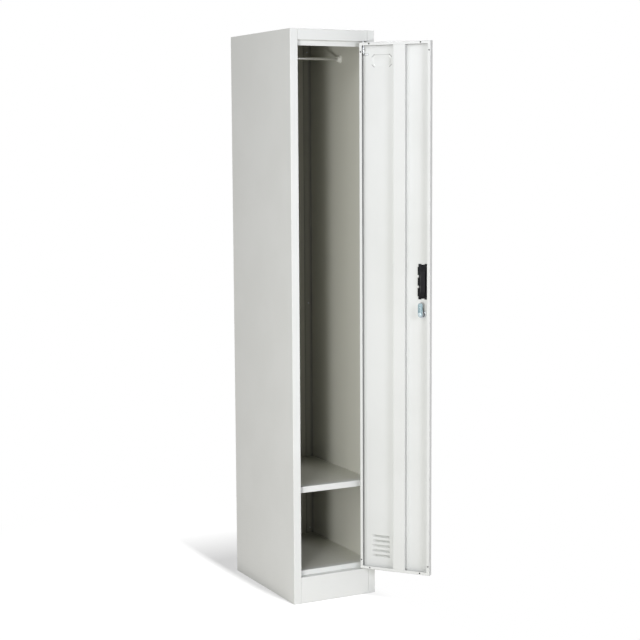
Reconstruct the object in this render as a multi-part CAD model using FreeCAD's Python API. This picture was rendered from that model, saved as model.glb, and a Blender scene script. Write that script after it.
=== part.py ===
import FreeCAD, Part
import math
import os

Vector = FreeCAD.Vector
X_AXIS = Vector(1, 0, 0)
Y_AXIS = Vector(0, 1, 0)
Z_AXIS = Vector(0, 0, 1)

# A tall sheet-steel locker with one door, in millimetres.
# Z is up and the front faces -Y. The origin lies on the floor, at the middle of the plinth's foot.

# Driving sizes of the carcass
locker_width = 300.0
locker_depth = 460.0
locker_height = 1850.0
sheet = 1.0  # steel thickness of every folded panel
bend = 1.0  # inside radius of every fold
flange_width = 27.0  # front and rear flanges of the side panels
fascia_height = 35.0
plinth_height = 87.0
plinth_ledge = 40.0  # front to back
stop_height = 16.0  # door stops under the fascia and over the plinth
stop_clearance = 4.0  # from the back of the shut door to the stops
top_rim = 20.0  # rims turned down from the top panel
seam = 0.8  # between the fascia or plinth and the flanges beside it
rear_lip = 5.0  # turned forward along the inner edges of the rear flanges
back_inset = 2.0  # from the edges of the carcass to the edges of the back panel

# Driving sizes of the shelf, its brackets and the hanging rail
shelf_height = 382.0  # top of the shelf above the floor
shelf_rim = 20.0
bracket_length = 30.0
bracket_leg = 17.0
bracket_inset = 6.0  # from the rims at the front and rear of the shelf to a bracket
bracket_clearance = 0.5
rail_drop = 79.0  # from the locker's top to the rail's axis
rail_from_front = 233.0
rail_radius = 5.0
rail_wall = 1.2
socket_radius = 17.0
socket_flange = 2.0
socket_cup_radius = 8.5
socket_cup_depth = 10.0

# Driving sizes of the door
door_thickness = 20.0
door_flange = 10.0  # return flanges all round the back of the door
door_side_gap = 2.0  # on the hinge side
door_lock_gap = 1.0
door_top_gap = 3.5
door_bottom_gap = 2.5
door_open_angle = 129.0  # from shut, as it stands at rest
corner_hole_radius = 2.6
corner_hole_up = 30.0  # from a corner to the hole in an upright flange
corner_hole_along = 34.0  # from a corner to the hole in a level flange
stiffener_inset = 116.0  # from the door's hinge edge to the stiffener's face
stiffener_width = 42.0
stiffener_foot = 7.0
stiffener_end_gap = 0.2

# Driving sizes of the pressed forms in the door
card_inset = 37.0  # from the hinge edge
card_drop = 38.0  # from the top edge
card_width = 68.0
card_height = 40.0
card_chamfer = 8.0
card_press = 2.5  # how far the field is pressed out
card_draft = 3.5  # width of its sloping sides
card_slit = 1.0  # width of the corner slits that hold a card
card_slit_length = 8.0
card_slit_inset = 7.6  # from the sides of the field to the middle of a slit
louvre_count = 5
louvre_pitch = 16.4
louvre_inset = 36.0  # from the hinge edge
louvre_length = 63.0
louvre_radius = 11.0
louvre_sill = 2.7  # from a hood's mouth up to its slot
louvre_rise = 37.9  # from the door's bottom edge to the lowest hood

# Driving sizes of the hinge
hinge_edge_inset = 8.5  # pin axis from the door's hinge edge
pin_skin_gap = 0.5  # between the door's skin and the clip on the pin
pin_radius = 2.5
running_clearance = 0.05
pin_reach = 4.0  # beyond the plate that the pin runs in
pin_drop = 38.0  # from the door's top edge to the axis of the bent foot
pin_foot = 18.0
pin_bend = 5.0
clip_radius = 3.5
clip_thickness = 1.2
clip_gap = 0.3
bracket_tab_drop = 24.0  # from the door's top edge to the underside of the guide tab
bracket_tab_width = 16.0
guide_depth = 13.0  # front to back
spring_wire = 0.7
spring_radius = 3.05  # to the middle of the wire
spring_turns = 4
spring_sides = 4  # square wire
washer_setback = 0.5  # behind the front of the carcass
washer_play = 0.1
pin_head_radius = 4.5
pin_head_height = 2.0

# Driving sizes of the handle
handle_height = 1050.0  # middle of the handle above the floor
handle_inset = 30.0  # from the door's lock edge to its middle
handle_cup_width = 30.0
handle_cup_length = 109.0
handle_floor_width = 14.5
handle_floor_length = 67.0
handle_floor_inset = 3.0  # from the cup's lock side
handle_depth = 15.0  # behind the door's face
handle_wall = 1.5
handle_border = 4.0  # bezel beyond the cup
handle_lip = 9.0
handle_fit = 0.2
handle_corner = 3.0
handle_bevel = 0.8  # round the front of the bezel
lug_width = 9.0
lug_height = 2.6
lug_depth = 4.0
lug_root = 7.0  # from the cup's edge inwards, into its sloping walls
notch_spread = 17.0  # from the handle's middle to the gaps between the lugs on the hinge side
notch_size = 8.0

# Driving sizes of the lock
lock_below = 50.5  # from the lower end of the handle's cup to the lock's axis
lock_inset = 32.0  # from the door's lock edge
barrel_radius = 9.5
barrel_flat = 8.2  # from the axis to the flats
barrel_bezel_radius = 11.5
barrel_bezel = 2.0
plug_radius = 6.0
plug_proud = 0.6
keyway_length = 8.0
keyway_width = 1.6
keyway_depth = 6.0
cam_gap = 1.5  # behind the flange that it catches
cam_thickness = 2.0
cam_width = 16.0
cam_reach = 37.0  # from the axis to the tip
cam_tip_radius = 6.0
cam_square = 7.0
cam_play = 0.6  # between the barrel and the cam
nut_across = 24.0
nut_thickness = 4.0
cam_screw_radius = 2.5
cam_screw_length = 8.0
cam_screw_across = 8.0
cam_screw_head = 3.0
cam_washer_radius = 7.0
cam_washer_thickness = 1.0

# Driving sizes of the fixings at the back
fixing_rise = 120.0  # from the floor to the lowest screws
fixing_step = 811.0  # from the lowest screws to the middle ones
fixing_drop = 45.0  # from the locker's top to the highest screws
fixing_radius = 2.5
fixing_across = 8.0  # flats of the heads
fixing_head = 3.5
fixing_tail = 5.0  # thread beyond the flange

# Places worked out from the sizes above
bend_outside = bend + sheet
half_width = locker_width / 2
web_face = half_width - sheet  # inside face of a side panel
stop_setback = door_thickness + stop_clearance
front = -stop_setback / 2
stop_face = front + stop_setback
back = front + locker_depth
flange_back = back - sheet  # rear face of the rear flanges
rear_seat = flange_back - sheet  # front face of the rear flanges
tray_back = flange_back - rear_lip - seam  # rear end of the shelf and the floor
opening_half = half_width - flange_width
infill_half = opening_half + bend_outside - seam  # half the width of the fascia and plinth
fascia_bottom = locker_height - fascia_height
floor_height = plinth_height + stop_height
door_right = opening_half - door_side_gap
door_left = door_lock_gap - opening_half
door_top = fascia_bottom - door_top_gap
door_bottom = plinth_height + door_bottom_gap
door_back = front + door_thickness
door_skin = front + sheet  # inside face of the door's front sheet
rail_height = locker_height - rail_drop
hinge_face_inset = sheet + pin_skin_gap + clip_radius  # pin axis from the door's front face
hinge_x = door_right - hinge_edge_inset
hinge_y = front + hinge_face_inset
lock_x = door_left + lock_inset
handle_x = door_left + handle_inset
lock_height = handle_height - handle_cup_length / 2 - lock_below


# Helpers for folded sheet and for plain cuts

def rounded_face(points, radii):
    """Flat face inside a closed outline, each corner rounded by its own radius, 0 for a sharp one."""
    spans = []
    count = len(points)
    for i in range(count):
        corner = points[i]
        if radii[i] == 0:
            spans.append((corner, None, corner))
            continue
        before = (points[i - 1] - corner).normalize()
        after = (points[(i + 1) % count] - corner).normalize()
        half_angle = before.getAngle(after) / 2
        inward = (before + after).normalize()
        tangent = radii[i] / math.tan(half_angle)
        middle = corner + inward * (radii[i] / math.sin(half_angle) - radii[i])
        spans.append((corner + before * tangent, middle, corner + after * tangent))
    edges = []
    for i in range(count):
        start, middle, end = spans[i]
        following = spans[(i + 1) % count][0]
        if middle is not None:
            edges.append(Part.Arc(start, middle, end).toShape())
        if end.distanceToPoint(following) > 1e-6:
            edges.append(Part.LineSegment(end, following).toShape())
    return Part.Face(Part.Wire(edges))


def plan(u, v):
    return Vector(u, v, 0)


def side_view(u, v):
    return Vector(0, u, v)


def front_view(u, v):
    return Vector(u, 0, v)


def folded_sheet(skin, view, start, length):
    """Sheet folded along a line of (u, v) corners, which traces one face with the metal on its left.

    The section is drawn in the given view and runs square to it from start over length."""
    corners = [Vector(u, v, 0) for u, v in skin]
    runs = [(b - a).normalize() for a, b in zip(corners, corners[1:])]
    lefts = [Vector(-run.y, run.x, 0) for run in runs]
    far = [corners[0] + lefts[0] * sheet]
    near_radii = [0]
    far_radii = [0]
    for i in range(1, len(runs)):
        spread = (lefts[i - 1] + lefts[i]) * (sheet / (1 + lefts[i - 1].dot(lefts[i])))
        far.append(corners[i] + spread)
        turns_left = runs[i - 1].cross(runs[i]).z > 0
        near_radii.append(bend_outside if turns_left else bend)
        far_radii.append(bend if turns_left else bend_outside)
    far.append(corners[-1] + lefts[-1] * sheet)
    outline = corners + far[::-1]
    radii = near_radii + [0, 0] + far_radii[::-1]
    square = {plan: Z_AXIS, side_view: X_AXIS, front_view: Y_AXIS}[view]
    face = rounded_face([view(p.x, p.y) + square * start for p in outline], radii)
    return face.extrude(square * length)


def block(x0, x1, y0, y1, z0, z1):
    return Part.makeBox(x1 - x0, y1 - y0, z1 - z0, Vector(x0, y0, z0))


def rounded_slab(x0, x1, z0, z1, corner, y0, y1):
    """Plate standing in the front view, with its four corners rounded."""
    points = [Vector(x0, y0, z0), Vector(x1, y0, z0), Vector(x1, y0, z1), Vector(x0, y0, z1)]
    return rounded_face(points, [corner] * 4).extrude(Y_AXIS * (y1 - y0))


def rod(radius, start, axis, length):
    return Part.makeCylinder(radius, length, start, axis)


def turned(profile, start, axis):
    """Solid turned about an axis from (radius, distance along the axis) points."""
    wire = Part.makePolygon([Vector(r, 0, d) for r, d in profile + profile[:1]])
    solid = Part.Face(wire).revolve(Vector(0, 0, 0), Z_AXIS, 360)
    solid.Placement = FreeCAD.Placement(start, FreeCAD.Rotation(Z_AXIS, axis))
    return solid


def hexagon(across, start, axis, length):
    """Hexagonal bar from its size across the flats."""
    reach = across / math.sqrt(3)
    corners = [Vector(reach * math.cos(math.radians(60 * i)), reach * math.sin(math.radians(60 * i)), 0)
               for i in range(7)]
    bar = Part.Face(Part.makePolygon(corners)).extrude(Z_AXIS * length)
    bar.Placement = FreeCAD.Placement(start, FreeCAD.Rotation(Z_AXIS, axis))
    return bar


def mirrored(shape):
    return shape.mirror(Vector(0, 0, 0), X_AXIS)


def level_edges(shape, z):
    return [edge for edge in shape.Edges if all(abs(v.Z - z) < 1e-6 for v in edge.Vertexes)]


def tray(half, y0, y1, top, rim):
    """Shallow pan, open below, with rims turned down on all four sides."""
    outside = block(-half, half, y0, y1, top - rim, top)
    outside = outside.makeFillet(bend_outside, level_edges(outside, top))
    ceiling = top - sheet
    hollow = block(-half + sheet, half - sheet, y0 + sheet, y1 - sheet, top - 2 * rim, ceiling)
    hollow = hollow.makeFillet(bend, level_edges(hollow, ceiling))
    return outside.cut(hollow)


# Carcass

def left_side_panel():
    """Web with a front flange, its return beside the door, and a rear flange with a lip.

    The return is left out beside the plinth and fascia, and the lip under the top panel's rear rim."""
    edge = -opening_half
    lip = flange_back - rear_lip
    skin = [(edge, lip), (edge, flange_back), (-half_width, flange_back), (-half_width, front), (edge, front),
            (edge, door_back)]
    panel = folded_sheet(skin, plan, 0, locker_height)
    fold = edge - bend_outside
    for z0, z1 in ((0, plinth_height + seam), (fascia_bottom - seam, locker_height)):
        panel = panel.cut(block(fold, edge, front, door_back, z0, z1))
    panel = panel.cut(block(fold, edge, lip, flange_back, locker_height - top_rim - seam, locker_height))
    for place in back_fixings():
        if place.x < 0:
            panel = panel.cut(rod(fixing_radius + running_clearance, place, -Y_AXIS, 3 * sheet))
    return panel


def back_fixings():
    """Where the back's screws enter, on the rear face of the back panel."""
    x = half_width - flange_width / 2
    heights = (fixing_rise, fixing_rise + fixing_step, locker_height - fixing_drop)
    return [Vector(side * x, back, z) for side in (-1, 1) for z in heights]


def back_panel():
    panel = block(back_inset - half_width, half_width - back_inset, flange_back, back,
                  back_inset, locker_height - back_inset)
    for place in back_fixings():
        panel = panel.cut(rod(fixing_radius + running_clearance, place, -Y_AXIS, 2 * sheet))
    return panel


def back_screws():
    """Self-tapping hexagon-head screws, driven from behind into the rear flanges."""
    shank = 2 * sheet + fixing_tail
    screws = []
    for place in back_fixings():
        head = hexagon(fixing_across, place, Y_AXIS, fixing_head)
        screws.append(head.fuse(rod(fixing_radius, place, -Y_AXIS, shank)))
    return Part.makeCompound(screws)


def top_panel():
    """Top sheet, fascia, its return over the door and the door stop, in one folded piece."""
    skin = [(rear_seat, locker_height - top_rim), (rear_seat, locker_height), (front, locker_height),
            (front, fascia_bottom), (stop_face, fascia_bottom), (stop_face, fascia_bottom - stop_height)]
    middle = folded_sheet(skin, side_view, -infill_half, 2 * infill_half)
    wing_front = front + bend_outside
    wing_skin = [(-infill_half, locker_height), (-web_face, locker_height),
                 (-web_face, locker_height - top_rim)]
    wing = folded_sheet(wing_skin, front_view, wing_front, rear_seat - bend - wing_front)
    panel = middle.multiFuse([wing, mirrored(wing)]).removeSplitter()
    return panel.cut(hinge_hole(fascia_bottom))


def hinge_hole(z):
    """Hole for a hinge pin through the level sheet next to height z."""
    return rod(pin_radius + running_clearance, Vector(hinge_x, hinge_y, z - 2 * sheet), Z_AXIS, 4 * sheet)


def plinth():
    """Front board with a foot turned in on the floor and a ledge that the floor panel stands on."""
    skin = [(front + plinth_ledge, plinth_height), (front, plinth_height), (front, 0), (stop_face, 0)]
    board = folded_sheet(skin, side_view, -infill_half, 2 * infill_half)
    return board.cut(hinge_hole(plinth_height))


def floor_panel():
    return tray(web_face, stop_face, tray_back, floor_height, stop_height)


# Shelf and hanging rail

def bracket_starts():
    """Front ends of the shelf brackets along Y."""
    ahead = stop_face + sheet + bracket_inset
    behind = tray_back - sheet - bracket_inset - bracket_length
    return (ahead, behind)


def shelf():
    """Pan with rims, notched at the sides over its brackets."""
    board = tray(web_face, stop_face, tray_back, shelf_height, shelf_rim)
    for start in bracket_starts():
        for side in (-1, 1):
            inner = side * (web_face - bend_outside - bracket_clearance)
            outer = side * half_width
            board = board.cut(block(min(inner, outer), max(inner, outer), start - bracket_clearance,
                                    start + bracket_length + bracket_clearance,
                                    shelf_height - shelf_rim, shelf_height - sheet))
    return board


def shelf_brackets():
    """Angles welded to the side panels, under the corners of the shelf."""
    seat = shelf_height - sheet
    skin = [(web_face, seat - bracket_leg), (web_face, seat), (web_face - bracket_leg, seat)]
    angles = []
    for start in bracket_starts():
        angle = folded_sheet(skin, front_view, start, bracket_length)
        angles += [angle, mirrored(angle)]
    return Part.makeCompound(angles)


def rail_sockets():
    """Flanged cups on the side panels that take the ends of the rail."""
    bore = rail_radius + running_clearance
    lip = socket_flange + socket_cup_depth
    profile = [(0, 0), (socket_radius, 0), (socket_radius, socket_flange), (socket_cup_radius, socket_flange),
               (socket_cup_radius, lip), (bore, lip), (bore, socket_flange), (0, socket_flange)]
    socket = turned(profile, Vector(-web_face, front + rail_from_front, rail_height), X_AXIS)
    return Part.makeCompound([socket, mirrored(socket)])


def hanging_rail():
    half = web_face - socket_flange
    start = Vector(-half, front + rail_from_front, rail_height)
    tube = rod(rail_radius, start, X_AXIS, 2 * half)
    return tube.cut(rod(rail_radius - rail_wall, start, X_AXIS, 2 * half))


# Door, drawn shut and swung open afterwards

def door_panel():
    """One sheet folded into a pan, with return flanges all round its back."""
    def hollow_box(inset, radius):
        shape = block(door_left + inset, door_right - inset, front + inset, door_back - inset,
                      door_bottom + inset, door_top - inset)
        level = [e for e in shape.Edges if abs(e.Vertexes[0].Y - e.Vertexes[1].Y) < 1e-6]
        return shape.makeFillet(radius, level)

    pan = hollow_box(0, bend_outside).cut(hollow_box(sheet, bend))
    pan = pan.cut(block(door_left + door_flange, door_right - door_flange, door_back - bend_outside,
                        door_back + sheet, door_bottom + door_flange, door_top - door_flange))
    pan = pan.cut(Part.makeCompound(corner_holes()))
    pan = pan.cut(hinge_hole(door_top)).cut(hinge_hole(door_bottom))
    pan = pan.cut(handle_cutout()).cut(barrel(running_clearance))
    card_boss, card_pocket = card_frame()
    pan = pan.fuse(card_boss).cut(card_pocket)
    hoods, slots = louvres()
    return pan.cut(Part.makeCompound(slots)).multiFuse(hoods).removeSplitter()


def corner_holes():
    """Holes in the return flanges, two in each, near the corners."""
    middle = door_flange / 2
    places = []
    for x, inward in ((door_left, 1), (door_right, -1)):
        for z, upward in ((door_bottom, 1), (door_top, -1)):
            places.append((x + inward * middle, z + upward * corner_hole_up))
            places.append((x + inward * corner_hole_along, z + upward * middle))
    return [rod(corner_hole_radius, Vector(x, door_back - 2 * sheet, z), Y_AXIS, 3 * sheet)
            for x, z in places]


def card_frame():
    """Pressed field for a name card, with a slit across each corner: what is added, and what is cut."""
    right = door_right - card_inset
    left = right - card_width
    top = door_top - card_drop
    bottom = top - card_height

    def pressing(inset, y0, y1):
        rims = []
        for edge, y in ((inset + card_draft, y0), (inset, y1)):
            rims.append(cut_corners(left + edge, right - edge, bottom + edge, top - edge, card_chamfer, y))
        return flat_sided(rims)

    boss = pressing(0, front - card_press, front)
    pocket = pressing(sheet, front - card_press + sheet, door_skin)
    half = card_slit_length / 2
    slits = []
    for x, across in ((left, 1), (right, -1)):
        for z, up in ((bottom, 1), (top, -1)):
            slit = block(-half, half, front - card_press - sheet, door_skin + sheet,
                         -card_slit / 2, card_slit / 2)
            slit = slit.rotated(Vector(0, 0, 0), Y_AXIS, 45 * across * up)
            slits.append(slit.translated(Vector(x + across * card_slit_inset, 0, z + up * card_slit_inset)))
    return boss, Part.makeCompound([pocket] + slits)


def cut_corners(left, right, bottom, top, cut, y):
    """Corners of an upright rectangle whose own corners are cut off, at depth y."""
    corners = [(left + cut, bottom), (right - cut, bottom), (right, bottom + cut), (right, top - cut),
               (right - cut, top), (left + cut, top), (left, top - cut), (left, bottom + cut)]
    return [Vector(x, y, z) for x, z in corners]


def flat_sided(rims):
    """Solid with flat sides from each rim of corners to the next."""
    faces = [Part.Face(Part.makePolygon(rim + rim[:1])) for rim in (rims[0], rims[-1])]
    for near, far in zip(rims, rims[1:]):
        for i in range(len(near)):
            faces.append(Part.Face(Part.makePolygon([near[i - 1], near[i], far[i], far[i - 1], near[i - 1]])))
    return Part.makeSolid(Part.makeShell(faces))


def quarter_bar(radius, z):
    """Quarter of a round bar with sloping ends, outside the door's face and above height z."""
    inset = louvre_radius - radius
    right = door_right - louvre_inset - inset
    left = door_right - louvre_inset - louvre_length + inset
    quarter = Part.makeCylinder(radius, right - left, Vector(left, front, z), X_AXIS).common(
        block(left, right, front - radius, front, z, z + radius))
    slopes = [(left, 0), (right, 0), (right - radius, radius), (left + radius, radius), (left, 0)]
    outline = Part.Face(Part.makePolygon([Vector(x, front - out, z) for x, out in slopes]))
    return quarter.common(outline.extrude(Z_AXIS * radius))


def louvres():
    """Hoods pressed out of the door, open below, and the slots behind them."""
    hoods = []
    slots = []
    for i in range(louvre_count):
        z = door_bottom + louvre_rise + i * louvre_pitch
        hollow = quarter_bar(louvre_radius - sheet, z)
        hoods.append(quarter_bar(louvre_radius, z).cut(hollow))
        mouth = [face for face in hollow.Faces if abs(face.CenterOfMass.y - front) < 1e-6][0]
        slots.append(mouth.extrude(Y_AXIS * sheet).common(
            block(door_left, door_right, front, door_skin, z + louvre_sill, z + louvre_radius)))
    return hoods, slots


def door_stiffener():
    """Hat section between the door's skin and the plane of its return flanges."""
    right = door_right - stiffener_inset
    left = right - stiffener_width
    foot = door_skin + sheet
    skin = [(right + stiffener_foot, foot), (right, foot), (right, door_back), (left, door_back),
            (left, foot), (left - stiffener_foot, foot)]
    start = door_bottom + door_flange + stiffener_end_gap
    return folded_sheet(skin, plan, start, door_top - door_flange - stiffener_end_gap - start)


# Handle

def handle_slab(width, length, corner, y0, y1):
    return rounded_slab(handle_x - width / 2, handle_x + width / 2, handle_height - length / 2,
                        handle_height + length / 2, corner, y0, y1)


def handle_cutout():
    return handle_slab(handle_cup_width + 2 * handle_fit, handle_cup_length + 2 * handle_fit,
                       handle_corner + handle_fit, front - sheet, door_skin + sheet)


def door_handle():
    """Moulded cup in the door's face, held by its bezel in front and its lugs behind."""
    face = front - handle_wall
    floor = front + handle_depth
    bezel = handle_slab(handle_cup_width + 2 * handle_border, handle_cup_length + 2 * handle_border,
                        handle_corner + handle_border, face, front)
    rim = [edge for edge in bezel.Edges if all(abs(v.Y - face) < 1e-6 for v in edge.Vertexes)]
    bezel = bezel.makeChamfer(handle_bevel, rim)
    lock_side = handle_x - handle_cup_width / 2
    hinge_side = handle_x + handle_cup_width / 2
    half_length = handle_cup_length / 2
    solid = [bezel, tapered_cup(0, face + handle_wall / 2, floor)] + handle_lugs(lock_side, hinge_side)
    hollow = tapered_cup(handle_wall, face - sheet, floor - handle_wall)
    body = solid[0].multiFuse(solid[1:]).cut(hollow)
    lip_reach = handle_wall + handle_lip
    lip = block(lock_side, lock_side + lip_reach, face + handle_wall / 2, front + handle_wall / 2,
                handle_height - half_length + handle_corner, handle_height + half_length - handle_corner)
    return body.fuse(lip).removeSplitter()


def tapered_cup(inset, y0, y1):
    """Cup that runs straight through the door's sheet, then narrows to its floor, deepest on the lock side."""
    def outline(left, right, half, y):
        return cut_corners(left, right, handle_height - half, handle_height + half, handle_corner - inset, y)

    lock_side = handle_x - handle_cup_width / 2
    mouth = (lock_side + inset, lock_side + handle_cup_width - inset, handle_cup_length / 2 - inset)
    floor_left = lock_side + handle_floor_inset + inset
    base = (floor_left, floor_left + handle_floor_width - 2 * inset, handle_floor_length / 2 - inset)
    return flat_sided([outline(*mouth, y0), outline(*mouth, door_skin), outline(*base, y1)])


def handle_lugs(lock_side, hinge_side):
    """Lugs behind the door's sheet: two at either end of the handle, and three along its hinge side."""
    lug_front = door_skin + running_clearance
    lug_back = lug_front + lug_depth
    half_length = handle_cup_length / 2
    lugs = []
    for end in (-1, 1):
        z = handle_height + end * half_length
        low, high = sorted((z - end * lug_root, z + end * lug_height))
        for x in (lock_side, hinge_side - lug_width):
            lugs.append(block(x, x + lug_width, lug_front, lug_back, low, high))
    gap = notch_size / 2
    reach = half_length - lug_root
    for low, high in ((-reach, -notch_spread - gap), (gap - notch_spread, notch_spread - gap),
                      (notch_spread + gap, reach)):
        lugs.append(block(hinge_side - lug_root, hinge_side + lug_height, lug_front, lug_back,
                          handle_height + low, handle_height + high))
    return lugs


# Lock

def on_lock_axis(y):
    return Vector(lock_x, y, lock_height)


barrel_end = door_back + cam_gap - cam_play
cam_front = door_back + cam_gap
cam_back = cam_front + cam_thickness


def barrel(grow):
    """Barrel with a flat on either side, so that it can't turn in the door."""
    flat = barrel_flat + grow
    length = barrel_end - front
    round_bar = rod(barrel_radius + grow, on_lock_axis(front), Y_AXIS, length)
    return round_bar.common(block(lock_x - flat, lock_x + flat, front, barrel_end,
                                  lock_height - 2 * barrel_radius, lock_height + 2 * barrel_radius))


def lock_housing():
    bezel = rod(barrel_bezel_radius, on_lock_axis(front), -Y_AXIS, barrel_bezel)
    bore = rod(plug_radius + running_clearance, on_lock_axis(front - barrel_bezel), Y_AXIS,
               barrel_end - front + barrel_bezel)
    return barrel(0).fuse(bezel).cut(bore)


def lock_nut():
    nut = hexagon(nut_across, on_lock_axis(door_skin), Y_AXIS, nut_thickness)
    return nut.cut(rod(barrel_radius + running_clearance, on_lock_axis(door_skin), Y_AXIS, nut_thickness))


def lock_plug():
    """Plug with a keyway, and a square at its end for the cam."""
    face = front - barrel_bezel - plug_proud
    plug = rod(plug_radius, on_lock_axis(face), Y_AXIS, cam_front - face)
    half = cam_square / 2
    square = block(lock_x - half, lock_x + half, cam_front, cam_back, lock_height - half, lock_height + half)
    keyway = block(lock_x - keyway_width / 2, lock_x + keyway_width / 2, face, face + keyway_depth,
                   lock_height - keyway_length / 2, lock_height + keyway_length / 2)
    thread = rod(cam_screw_radius, on_lock_axis(cam_back - cam_screw_length), Y_AXIS, cam_screw_length)
    return plug.fuse(square).cut(keyway).cut(thread)


def lock_cam():
    """Flat cam that points up at rest, and turns to catch behind the side panel's flange."""
    half = cam_width / 2
    corners = [Vector(lock_x - half, cam_front, lock_height - half),
               Vector(lock_x + half, cam_front, lock_height - half),
               Vector(lock_x + half, cam_front, lock_height + cam_reach),
               Vector(lock_x - half, cam_front, lock_height + cam_reach)]
    outline = rounded_face(corners, [half, half, cam_tip_radius, cam_tip_radius])
    plate = outline.extrude(Y_AXIS * cam_thickness)
    hub = cam_square / 2
    return plate.cut(block(lock_x - hub, lock_x + hub, cam_front, cam_back,
                           lock_height - hub, lock_height + hub))


def cam_washer():
    washer = rod(cam_washer_radius, on_lock_axis(cam_back), Y_AXIS, cam_washer_thickness)
    return washer.cut(rod(cam_screw_radius, on_lock_axis(cam_back), Y_AXIS, cam_washer_thickness))


def cam_screw():
    seat = on_lock_axis(cam_back + cam_washer_thickness)
    head = hexagon(cam_screw_across, seat, Y_AXIS, cam_screw_head)
    return head.fuse(rod(cam_screw_radius, seat, -Y_AXIS, cam_washer_thickness + cam_screw_length))


# Hinge

door_ceiling = door_top - sheet  # inside face of the door's top edge
guide_under = door_top - bracket_tab_drop
clip_top = door_ceiling - clip_gap
spring_low = guide_under + sheet
spring_high = clip_top - clip_thickness


def upper_hinge_pin():
    """Sprung pin with its lower end bent over as a finger pull, to take the door off."""
    foot_z = door_top - pin_drop
    top = Vector(hinge_x, hinge_y, fascia_bottom + sheet + pin_reach)
    toe = Vector(hinge_x - pin_foot, hinge_y, foot_z)
    bend_centre = Vector(hinge_x - pin_bend, hinge_y, foot_z + pin_bend)
    turns = [math.radians(angle) for angle in (0, 45, 90)]
    bent = [bend_centre + (X_AXIS * math.cos(a) - Z_AXIS * math.sin(a)) * pin_bend for a in turns]
    section = Part.Wire(Part.makeCircle(pin_radius, top, Z_AXIS))
    square_corners = 1
    return Part.makePolygon([top] + bent + [toe]).makePipeShell([section], True, False, square_corners)


def ring(radius, bore, z, height):
    middle = Vector(hinge_x, hinge_y, z)
    return rod(radius, middle, Z_AXIS, height).cut(rod(bore, middle, Z_AXIS, height))


def hinge_pin_clip():
    return ring(clip_radius, pin_radius, spring_high, clip_thickness)


def hinge_bracket():
    """Angle welded to the door's hinge edge, whose tab guides the pin and carries the spring."""
    wall = door_right - sheet
    tab = wall - bracket_tab_width
    skin = [(tab, guide_under), (wall, guide_under), (wall, spring_high)]
    angle = folded_sheet(skin, front_view, door_skin + bend, guide_depth)
    return angle.cut(hinge_hole(guide_under))


def biarc(p0, t0, p1, t1):
    """Two arcs that leave p0 along t0, arrive at p1 along t1 and meet with one tangent."""
    chord = p1 - p0
    along = chord.dot(t0 + t1)
    turn = 2 * (1 - t0.dot(t1))
    reach = (math.sqrt(along * along + turn * chord.dot(chord)) - along) / turn
    q0 = p0 + t0 * reach
    q1 = p1 - t1 * reach
    joint = (q0 + q1) * 0.5
    arcs = []
    for start, corner, end in ((p0, q0, joint), (joint, q1, p1)):
        middle = (start + end) * 0.5
        half = middle.distanceToPoint(start)
        half_turn = math.acos(half / corner.distanceToPoint(start))
        crown = middle + (corner - middle).normalize() * (half * math.tan(half_turn / 2))
        arcs.append(Part.Arc(start, crown, end).toShape())
    return arcs


def hinge_spring():
    """Coil spring between the guide tab and the clip on the pin."""
    low = spring_low + spring_wire / 2
    rise = (spring_high - spring_wire / 2 - low) / spring_turns
    slope = rise / (2 * math.pi)

    def helix(turn):
        angle = 2 * math.pi * turn
        side = Vector(math.cos(angle), math.sin(angle), 0)
        point = Vector(hinge_x, hinge_y, low + rise * turn) + side * spring_radius
        return point, Vector(-side.y * spring_radius, side.x * spring_radius, slope).normalize()

    edges = []
    for half_turn in range(2 * spring_turns):
        edges += biarc(*helix(half_turn / 2), *helix((half_turn + 1) / 2))
    start, heading = helix(0)
    ring_of_flats = Part.makeCircle(spring_wire / 2, start, heading).discretize(spring_sides + 1)
    section = Part.makePolygon(ring_of_flats)
    coil = Part.Wire(edges).makePipeShell([section], True, False)
    samples = 24
    points = [helix(i / samples)[0] for i in range(samples * spring_turns + 1)]
    nearest = min(a.distanceToPoint(b) for i, a in enumerate(points) for b in points[i + samples // 2:])
    print("spring: least gap between turns %.2f mm" % (nearest - spring_wire))
    return coil


def lower_hinge_pin():
    """Headed pin, riveted up through the plinth's ledge into the door's bottom edge.

    A flat on the head keeps it clear of the plinth's front board."""
    under = plinth_height - sheet
    tip = door_bottom + sheet + pin_reach
    base = Vector(hinge_x, hinge_y, under - pin_head_height)
    flat = front + sheet + bend
    head = rod(pin_head_radius, base, Z_AXIS, pin_head_height)
    head = head.cut(block(hinge_x - pin_head_radius, hinge_x + pin_head_radius, front, flat, base.z, under))
    return head.fuse(rod(pin_radius, base, Z_AXIS, tip - base.z)).removeSplitter()


def lower_hinge_washer():
    return ring(hinge_face_inset - washer_setback, pin_radius + running_clearance, plinth_height,
                door_bottom_gap - washer_play)


# Assembly: the door's pieces swing open about the hinge pins

def swung(shape):
    return shape.rotated(Vector(hinge_x, hinge_y, 0), Z_AXIS, door_open_angle)


left_side = left_side_panel()
carcass = {
    "left_side_panel": left_side,
    "right_side_panel": mirrored(left_side),
    "back_panel": back_panel(),
    "back_screws": back_screws(),
    "top_panel": top_panel(),
    "plinth": plinth(),
    "floor_panel": floor_panel(),
    "shelf": shelf(),
    "shelf_brackets": shelf_brackets(),
    "rail_sockets": rail_sockets(),
    "hanging_rail": hanging_rail(),
    "lower_hinge_pin": lower_hinge_pin(),
    "lower_hinge_washer": lower_hinge_washer(),
}
door = {
    "door_panel": door_panel(),
    "door_stiffener": door_stiffener(),
    "door_handle": door_handle(),
    "lock_housing": lock_housing(),
    "lock_nut": lock_nut(),
    "lock_plug": lock_plug(),
    "lock_cam": lock_cam(),
    "cam_washer": cam_washer(),
    "cam_screw": cam_screw(),
    "upper_hinge_pin": upper_hinge_pin(),
    "hinge_pin_clip": hinge_pin_clip(),
    "hinge_bracket": hinge_bracket(),
    "hinge_spring": hinge_spring(),
}

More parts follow.
